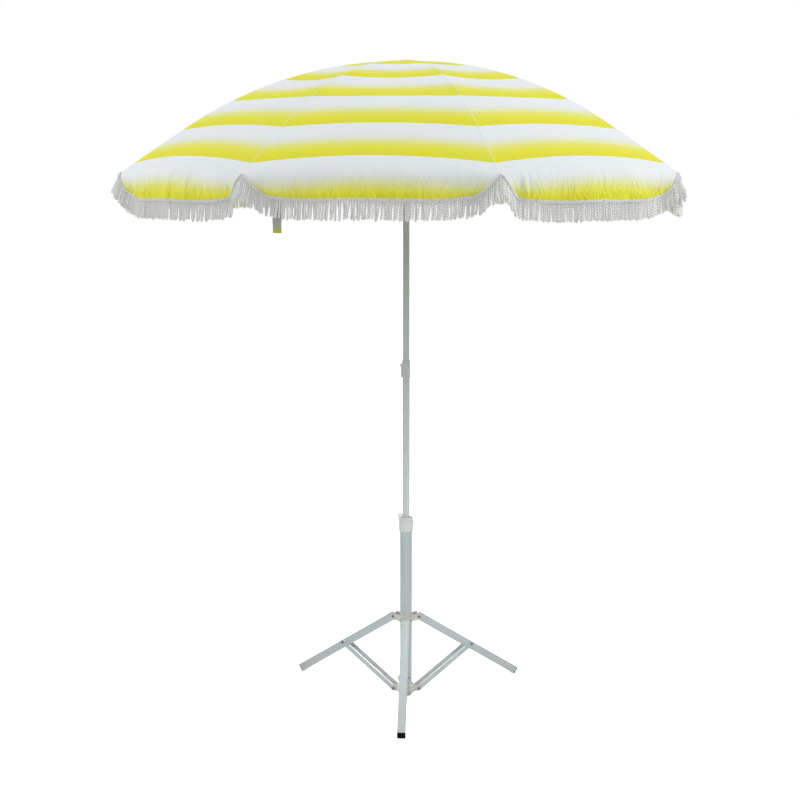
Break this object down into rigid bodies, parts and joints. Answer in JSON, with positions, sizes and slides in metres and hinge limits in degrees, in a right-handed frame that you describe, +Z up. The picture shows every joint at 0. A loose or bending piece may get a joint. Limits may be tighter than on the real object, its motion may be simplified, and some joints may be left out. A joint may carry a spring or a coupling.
{
  "type": "beach umbrella",
  "caption": "Beach umbrella with a fringed, ombre-striped canopy, a two-piece telescoping pole and a folding three-leg base.",
  "frame": {"origin": "on the ground under the pole's axis, at the bottom of the foot hub", "axes": "+Z up along the pole; the front leg of the tripod points towards -Y"},
  "size_m": [1.7206, 1.7206, 2.002],
  "materials": {
    "cream_plastic": "satin moulded plastic",
    "pole_coat": "grey-white powder coat",
    "pin_steel": "dull dark steel",
    "black_plastic": "matte black",
    "white_plastic": "satin moulded plastic",
    "bright_steel": "plated steel",
    "rib_steel": "grey-white enamel",
    "canopy_cloth": "white and yellow woven cloth",
    "strap_cloth": "woven tape"
  },
  "bodies": {
    "base": {"foot_hub": "cream_plastic", "base_tube": "pole_coat", "strut_pins": "pin_steel"},
    "strut_1": {"strut_1": "pole_coat"},
    "leg_1": {"leg_1": "pole_coat", "leg_foot_1": "black_plastic", "mid_pin_1": "pin_steel"},
    "strut_2": {"strut_2": "pole_coat"},
    "leg_2": {"leg_2": "pole_coat", "leg_foot_2": "black_plastic", "mid_pin_2": "pin_steel"},
    "strut_3": {"strut_3": "pole_coat"},
    "leg_3": {"leg_3": "pole_coat", "leg_foot_3": "black_plastic", "mid_pin_3": "pin_steel"},
    "leg_hub": {"leg_hub": "cream_plastic", "leg_pins": "pin_steel"},
    "base_collar": {"base_collar": "white_plastic"},
    "collet": {"collet": "white_plastic"},
    "lower_pole": {"lower_pole": "pole_coat", "pole_sleeve": "white_plastic", "pole_glide": "white_plastic"},
    "upper_pole": {"upper_pole": "pole_coat", "crown": "white_plastic", "crown_ring": "bright_steel", "top_cap": "white_plastic", "button_spring": "bright_steel"},
    "snap_button": {"snap_button": "bright_steel"},
    "runner_catch": {"runner_catch": "bright_steel"},
    "rib_1": {"rib_1": "rib_steel", "canopy_1": "canopy_cloth"},
    "stretcher_1": {"stretcher_1": "rib_steel"},
    "rib_2": {"rib_2": "rib_steel", "canopy_2": "canopy_cloth"},
    "stretcher_2": {"stretcher_2": "rib_steel"},
    "rib_3": {"rib_3": "rib_steel", "canopy_3": "canopy_cloth"},
    "stretcher_3": {"stretcher_3": "rib_steel"},
    "rib_4": {"rib_4": "rib_steel", "canopy_4": "canopy_cloth"},
    "stretcher_4": {"stretcher_4": "rib_steel"},
    "rib_5": {"rib_5": "rib_steel", "canopy_5": "canopy_cloth"},
    "stretcher_5": {"stretcher_5": "rib_steel"},
    "rib_6": {"rib_6": "rib_steel", "canopy_6": "canopy_cloth"},
    "stretcher_6": {"stretcher_6": "rib_steel"},
    "rib_7": {"rib_7": "rib_steel", "canopy_7": "canopy_cloth"},
    "stretcher_7": {"stretcher_7": "rib_steel"},
    "rib_8": {"rib_8": "rib_steel", "canopy_8": "canopy_cloth", "closure_strap": "strap_cloth"},
    "stretcher_8": {"stretcher_8": "rib_steel"},
    "runner": {"runner": "white_plastic", "runner_ring": "bright_steel"}
  },
  "joints": [
    {"name": "strut_fold_1", "type": "hinge", "parent": "base", "child": "strut_1", "pos_m": [0, -0.039, 0.01], "axis": [-1, 0, 0], "range_deg": [0, 55]},
    {"name": "leg_fold_1", "type": "hinge", "parent": "strut_1", "child": "leg_1", "pos_m": [0, -0.2365, 0.1305], "axis": [-1, 0, 0], "range_deg": [-110, 0]},
    {"name": "strut_fold_2", "type": "hinge", "parent": "base", "child": "strut_2", "pos_m": [0.03377, 0.0195, 0.01], "axis": [0.5, -0.866, 0], "range_deg": [0, 55]},
    {"name": "leg_fold_2", "type": "hinge", "parent": "strut_2", "child": "leg_2", "pos_m": [0.20482, 0.11825, 0.1305], "axis": [0.5, -0.866, 0], "range_deg": [-110, 0]},
    {"name": "strut_fold_3", "type": "hinge", "parent": "base", "child": "strut_3", "pos_m": [-0.03377, 0.0195, 0.01], "axis": [0.5, 0.866, 0], "range_deg": [0, 55]},
    {"name": "leg_fold_3", "type": "hinge", "parent": "strut_3", "child": "leg_3", "pos_m": [-0.20482, 0.11825, 0.1305], "axis": [0.5, 0.866, 0], "range_deg": [-110, 0]},
    {"name": "hub_rise", "type": "hinge", "parent": "leg_1", "child": "leg_hub", "pos_m": [0, -0.039, 0.251], "axis": [-1, 0, 0], "range_deg": [0, 55]},
    {"name": "collar_twist", "type": "hinge", "parent": "base", "child": "base_collar", "pos_m": [0, 0, 0.558], "axis": [0, 0, 1], "range_deg": [0, 90]},
    {"name": "pole_turn", "type": "hinge", "parent": "base", "child": "collet", "pos_m": [0, 0, 0.54], "axis": [0, 0, 1], "continuous": true},
    {"name": "pole_slide", "type": "slide", "parent": "collet", "child": "lower_pole", "axis": [0, 0, 1], "range_m": [-0.16, 0.2]},
    {"name": "upper_pull", "type": "slide", "parent": "lower_pole", "child": "upper_pole", "axis": [0, 0, 1], "range_m": [0, 0.13]},
    {"name": "button_press", "type": "slide", "parent": "upper_pole", "child": "snap_button", "axis": [1, 0, 0], "range_m": [0, 0.004], "stiffness_N_per_m": 600, "springref_m": -0.001, "deforming": ["button_spring"]},
    {"name": "catch_press", "type": "slide", "parent": "upper_pole", "child": "runner_catch", "axis": [-1, 0, 0], "range_m": [0, 0.004], "stiffness_N_per_m": 800, "springref_m": -0.001},
    {"name": "rib_fold_1", "type": "hinge", "parent": "upper_pole", "child": "rib_1", "pos_m": [0.00612, -0.01904, 1.9894], "axis": [0.952, 0.3062, 0], "range_deg": [0, 60], "deforming": ["canopy_1"]},
    {"name": "stretcher_fold_1", "type": "hinge", "parent": "rib_1", "child": "stretcher_1", "pos_m": [0.13339, -0.41471, 1.90363], "axis": [0.952, 0.3062, 0], "range_deg": [-120, 0]},
    {"name": "rib_fold_2", "type": "hinge", "parent": "upper_pole", "child": "rib_2", "pos_m": [0.01779, -0.00913, 1.9894], "axis": [0.4566, 0.8897, 0], "range_deg": [0, 60], "deforming": ["canopy_2"]},
    {"name": "stretcher_fold_2", "type": "hinge", "parent": "rib_2", "child": "stretcher_2", "pos_m": [0.38756, -0.19892, 1.90363], "axis": [0.4566, 0.8897, 0], "range_deg": [-120, 0]},
    {"name": "rib_fold_3", "type": "hinge", "parent": "upper_pole", "child": "rib_3", "pos_m": [0.01904, 0.00612, 1.9894], "axis": [-0.3062, 0.952, 0], "range_deg": [0, 60], "deforming": ["canopy_3"]},
    {"name": "stretcher_fold_3", "type": "hinge", "parent": "rib_3", "child": "stretcher_3", "pos_m": [0.41471, 0.13339, 1.90363], "axis": [-0.3062, 0.952, 0], "range_deg": [-120, 0]},
    {"name": "rib_fold_4", "type": "hinge", "parent": "upper_pole", "child": "rib_4", "pos_m": [0.00913, 0.01779, 1.9894], "axis": [-0.8897, 0.4566, 0], "range_deg": [0, 60], "deforming": ["canopy_4"]},
    {"name": "stretcher_fold_4", "type": "hinge", "parent": "rib_4", "child": "stretcher_4", "pos_m": [0.19892, 0.38756, 1.90363], "axis": [-0.8897, 0.4566, 0], "range_deg": [-120, 0]},
    {"name": "rib_fold_5", "type": "hinge", "parent": "upper_pole", "child": "rib_5", "pos_m": [-0.00612, 0.01904, 1.9894], "axis": [-0.952, -0.3062, 0], "range_deg": [0, 60], "deforming": ["canopy_5"]},
    {"name": "stretcher_fold_5", "type": "hinge", "parent": "rib_5", "child": "stretcher_5", "pos_m": [-0.13339, 0.41471, 1.90363], "axis": [-0.952, -0.3062, 0], "range_deg": [-120, 0]},
    {"name": "rib_fold_6", "type": "hinge", "parent": "upper_pole", "child": "rib_6", "pos_m": [-0.01779, 0.00913, 1.9894], "axis": [-0.4566, -0.8897, 0], "range_deg": [0, 60], "deforming": ["canopy_6"]},
    {"name": "stretcher_fold_6", "type": "hinge", "parent": "rib_6", "child": "stretcher_6", "pos_m": [-0.38756, 0.19892, 1.90363], "axis": [-0.4566, -0.8897, 0], "range_deg": [-120, 0]},
    {"name": "rib_fold_7", "type": "hinge", "parent": "upper_pole", "child": "rib_7", "pos_m": [-0.01904, -0.00612, 1.9894], "axis": [0.3062, -0.952, 0], "range_deg": [0, 60], "deforming": ["canopy_7"]},
    {"name": "stretcher_fold_7", "type": "hinge", "parent": "rib_7", "child": "stretcher_7", "pos_m": [-0.41471, -0.13339, 1.90363], "axis": [0.3062, -0.952, 0], "range_deg": [-120, 0]},
    {"name": "rib_fold_8", "type": "hinge", "parent": "upper_pole", "child": "rib_8", "pos_m": [-0.00913, -0.01779, 1.9894], "axis": [0.8897, -0.4566, 0], "range_deg": [0, 60], "deforming": ["canopy_8", "closure_strap"]},
    {"name": "stretcher_fold_8", "type": "hinge", "parent": "rib_8", "child": "stretcher_8", "pos_m": [-0.19892, -0.38756, 1.90363], "axis": [0.8897, -0.4566, 0], "range_deg": [-120, 0]},
    {"name": "runner_rise", "type": "hinge", "parent": "stretcher_1", "child": "runner", "pos_m": [0.00612, -0.01904, 1.81786], "axis": [0.952, 0.3062, 0], "range_deg": [0, 60]}
  ],
  "couplings": [
    {"joint": "leg_fold_1", "follows": "strut_fold_1", "ratio": -2},
    {"joint": "strut_fold_2", "follows": "strut_fold_1", "ratio": 1},
    {"joint": "leg_fold_2", "follows": "strut_fold_1", "ratio": -2},
    {"joint": "strut_fold_3", "follows": "strut_fold_1", "ratio": 1},
    {"joint": "leg_fold_3", "follows": "strut_fold_1", "ratio": -2},
    {"joint": "hub_rise", "follows": "strut_fold_1", "ratio": 1},
    {"joint": "stretcher_fold_1", "follows": "rib_fold_1", "ratio": -2},
    {"joint": "rib_fold_2", "follows": "rib_fold_1", "ratio": 1},
    {"joint": "stretcher_fold_2", "follows": "rib_fold_1", "ratio": -2},
    {"joint": "rib_fold_3", "follows": "rib_fold_1", "ratio": 1},
    {"joint": "stretcher_fold_3", "follows": "rib_fold_1", "ratio": -2},
    {"joint": "rib_fold_4", "follows": "rib_fold_1", "ratio": 1},
    {"joint": "stretcher_fold_4", "follows": "rib_fold_1", "ratio": -2},
    {"joint": "rib_fold_5", "follows": "rib_fold_1", "ratio": 1},
    {"joint": "stretcher_fold_5", "follows": "rib_fold_1", "ratio": -2},
    {"joint": "rib_fold_6", "follows": "rib_fold_1", "ratio": 1},
    {"joint": "stretcher_fold_6", "follows": "rib_fold_1", "ratio": -2},
    {"joint": "rib_fold_7", "follows": "rib_fold_1", "ratio": 1},
    {"joint": "stretcher_fold_7", "follows": "rib_fold_1", "ratio": -2},
    {"joint": "rib_fold_8", "follows": "rib_fold_1", "ratio": 1},
    {"joint": "stretcher_fold_8", "follows": "rib_fold_1", "ratio": -2},
    {"joint": "runner_rise", "follows": "rib_fold_1", "ratio": 1}
  ]
}
